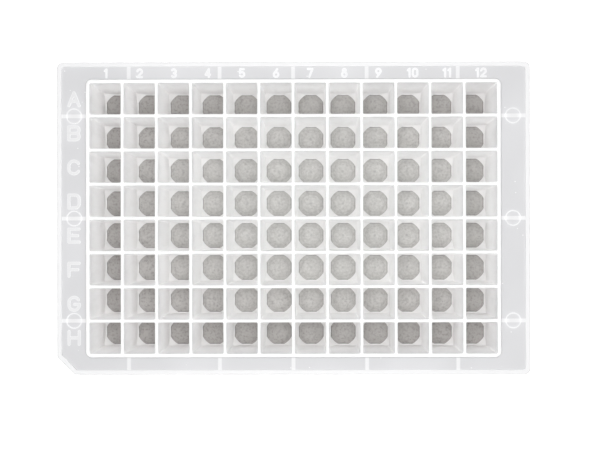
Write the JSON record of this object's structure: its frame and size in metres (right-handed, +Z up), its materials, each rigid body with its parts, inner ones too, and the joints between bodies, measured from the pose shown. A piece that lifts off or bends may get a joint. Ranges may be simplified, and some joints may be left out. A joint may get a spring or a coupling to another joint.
{
  "type": "deep-well plate",
  "caption": "One-piece translucent plate: a grid of deep square wells with round bottoms, in a ribbed skirt with a cut corner and a base flange.",
  "frame": {"origin": "centre of the rectangular footprint, on the surface the plate stands on", "axes": "+Z up out of the wells; +X from the first numbered column to the last; +Y from the last lettered row to row A"},
  "size_m": [0.1278, 0.0854, 0.044],
  "materials": {
    "natural_polypropylene": "satin"
  },
  "bodies": {
    "root": {"well_plate": "natural_polypropylene"}
  },
  "joints": []
}
